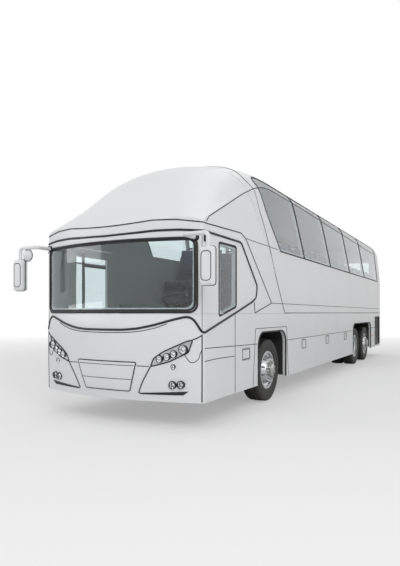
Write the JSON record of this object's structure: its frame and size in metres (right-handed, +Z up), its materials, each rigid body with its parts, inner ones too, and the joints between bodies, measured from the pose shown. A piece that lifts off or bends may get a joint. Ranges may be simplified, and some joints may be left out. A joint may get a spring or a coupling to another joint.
{
  "type": "three-axle high-deck touring coach bus",
  "caption": "White three-axle high-deck coach bus with a raked forehead, side glass band, luggage flaps, outswinging doors and steered wheels.",
  "frame": {"origin": "on the floor under the middle of the coach's overall box", "axes": "+Z up, -Y the way the coach drives, +X its left side"},
  "size_m": [3.19, 13.2501, 3.7024],
  "materials": {
    "body_paint": "gloss",
    "glass": "gloss",
    "lamp": "gloss",
    "tail_lamp": "gloss",
    "dark_trim": "matte",
    "chassis": "satin",
    "hold_lining": "matte",
    "floor_lining": "matte",
    "cast": "matte",
    "bellows": "matte",
    "upholstery": "matte",
    "tyre": "matte",
    "rim": "satin"
  },
  "bodies": {
    "body": {"front_dome": "body_paint", "side_wall_left": "body_paint", "side_wall_right": "body_paint", "roof": "body_paint", "tail": "body_paint", "front_fascia": "body_paint", "headlamps": "lamp", "fog_lamps": "lamp", "skirts": "body_paint", "side_grilles": "dark_trim", "windscreen": "glass", "window_glass": "glass", "tail_lamps": "tail_lamp", "chassis_frames": "chassis", "luggage_hold": "hold_lining", "cabin_floor": "floor_lining", "wheelhouses": "dark_trim", "front_axle": "cast", "drive_axle": "cast", "tag_axle": "cast", "air_springs": "bellows", "engine_block": "cast", "passenger_seats": "upholstery", "driver_seat": "upholstery", "dashboard": "dark_trim", "mirrors": "body_paint"},
    "knuckle_left": {"knuckle_left": "cast"},
    "front_wheel_left": {"rim_front_left": "rim", "tyre_front_left": "tyre"},
    "drive_wheel_left": {"rim_drive_left": "rim", "tyre_drive_left": "tyre"},
    "tag_wheel_left": {"rim_tag_left": "rim", "tyre_tag_left": "tyre"},
    "luggage_flap_left_1": {"luggage_flap_left_1": "body_paint"},
    "luggage_flap_left_2": {"luggage_flap_left_2": "body_paint"},
    "luggage_flap_left_3": {"luggage_flap_left_3": "body_paint"},
    "knuckle_right": {"knuckle_right": "cast"},
    "front_wheel_right": {"rim_front_right": "rim", "tyre_front_right": "tyre"},
    "drive_wheel_right": {"rim_drive_right": "rim", "tyre_drive_right": "tyre"},
    "tag_wheel_right": {"rim_tag_right": "rim", "tyre_tag_right": "tyre"},
    "luggage_flap_right_1": {"luggage_flap_right_1": "body_paint"},
    "luggage_flap_right_2": {"luggage_flap_right_2": "body_paint"},
    "steering_wheel": {"steering_wheel": "dark_trim"},
    "filler_flap": {"filler_flap": "body_paint"},
    "engine_lid": {"engine_lid": "body_paint"},
    "front_door_arm": {"front_door_arm": "chassis"},
    "front_door": {"front_door": "body_paint", "front_door_glass": "glass"},
    "mid_door_arm": {"mid_door_arm": "chassis"},
    "mid_door": {"mid_door": "body_paint", "mid_door_glass": "glass"}
  },
  "joints": [
    {"name": "steer_left", "type": "hinge", "parent": "body", "child": "knuckle_left", "pos_m": [0.925, -3.895, 0.5], "axis": [0, 0, 1], "range_deg": [-38, 38]},
    {"name": "front_wheel_left_spin", "type": "hinge", "parent": "knuckle_left", "child": "front_wheel_left", "pos_m": [1.06, -3.895, 0.5], "axis": [1, 0, 0], "continuous": true},
    {"name": "drive_wheel_left_spin", "type": "hinge", "parent": "body", "child": "drive_wheel_left", "pos_m": [1.06, 2.785, 0.5], "axis": [1, 0, 0], "continuous": true},
    {"name": "tag_wheel_left_spin", "type": "hinge", "parent": "body", "child": "tag_wheel_left", "pos_m": [1.06, 4.165, 0.5], "axis": [1, 0, 0], "continuous": true},
    {"name": "luggage_left_1_open", "type": "hinge", "parent": "body", "child": "luggage_flap_left_1", "pos_m": [1.275, -2.225, 1.407], "axis": [0, -1, 0], "range_deg": [0, 90]},
    {"name": "luggage_left_2_open", "type": "hinge", "parent": "body", "child": "luggage_flap_left_2", "pos_m": [1.275, -0.495, 1.407], "axis": [0, -1, 0], "range_deg": [0, 90]},
    {"name": "luggage_left_3_open", "type": "hinge", "parent": "body", "child": "luggage_flap_left_3", "pos_m": [1.275, 1.235, 1.407], "axis": [0, -1, 0], "range_deg": [0, 90]},
    {"name": "steer_right", "type": "hinge", "parent": "body", "child": "knuckle_right", "pos_m": [-0.925, -3.895, 0.5], "axis": [0, 0, 1], "range_deg": [-38, 38]},
    {"name": "front_wheel_right_spin", "type": "hinge", "parent": "knuckle_right", "child": "front_wheel_right", "pos_m": [-1.06, -3.895, 0.5], "axis": [1, 0, 0], "continuous": true},
    {"name": "drive_wheel_right_spin", "type": "hinge", "parent": "body", "child": "drive_wheel_right", "pos_m": [-1.06, 2.785, 0.5], "axis": [1, 0, 0], "continuous": true},
    {"name": "tag_wheel_right_spin", "type": "hinge", "parent": "body", "child": "tag_wheel_right", "pos_m": [-1.06, 4.165, 0.5], "axis": [1, 0, 0], "continuous": true},
    {"name": "luggage_right_1_open", "type": "hinge", "parent": "body", "child": "luggage_flap_right_1", "pos_m": [-1.275, -2.225, 1.407], "axis": [0, 1, 0], "range_deg": [0, 90]},
    {"name": "luggage_right_2_open", "type": "hinge", "parent": "body", "child": "luggage_flap_right_2", "pos_m": [-1.275, -0.495, 1.407], "axis": [0, 1, 0], "range_deg": [0, 90]},
    {"name": "steering_wheel_turn", "type": "hinge", "parent": "body", "child": "steering_wheel", "pos_m": [0.6, -5.695, 1.545], "axis": [0, 0.5299, 0.848], "range_deg": [-608, 608]},
    {"name": "filler_flap_open", "type": "hinge", "parent": "body", "child": "filler_flap", "pos_m": [1.275, -5.12, 0.835], "axis": [0, 0, -1], "range_deg": [0, 110]},
    {"name": "engine_lid_open", "type": "hinge", "parent": "body", "child": "engine_lid", "pos_m": [0, 6.613, 1.762], "axis": [1, 0, 0], "range_deg": [0, 75]},
    {"name": "front_door_swing", "type": "hinge", "parent": "body", "child": "front_door_arm", "pos_m": [-1.145, -5.65, 1.4], "axis": [0, 0, 1], "range_deg": [0, 118]},
    {"name": "front_door_leaf_turn", "type": "hinge", "parent": "front_door_arm", "child": "front_door", "pos_m": [-1.145, -5.15, 1.4], "axis": [0, 0, -1], "range_deg": [0, 118]},
    {"name": "mid_door_swing", "type": "hinge", "parent": "body", "child": "mid_door_arm", "pos_m": [-1.145, 1.33, 1.4], "axis": [0, 0, -1], "range_deg": [0, 118]},
    {"name": "mid_door_leaf_turn", "type": "hinge", "parent": "mid_door_arm", "child": "mid_door", "pos_m": [-1.145, 0.83, 1.4], "axis": [0, 0, 1], "range_deg": [0, 118]}
  ],
  "couplings": [
    {"joint": "steer_right", "follows": "steer_left", "ratio": 1},
    {"joint": "steering_wheel_turn", "follows": "steer_left", "ratio": 16},
    {"joint": "front_door_leaf_turn", "follows": "front_door_swing", "ratio": 1},
    {"joint": "mid_door_leaf_turn", "follows": "mid_door_swing", "ratio": 1}
  ]
}
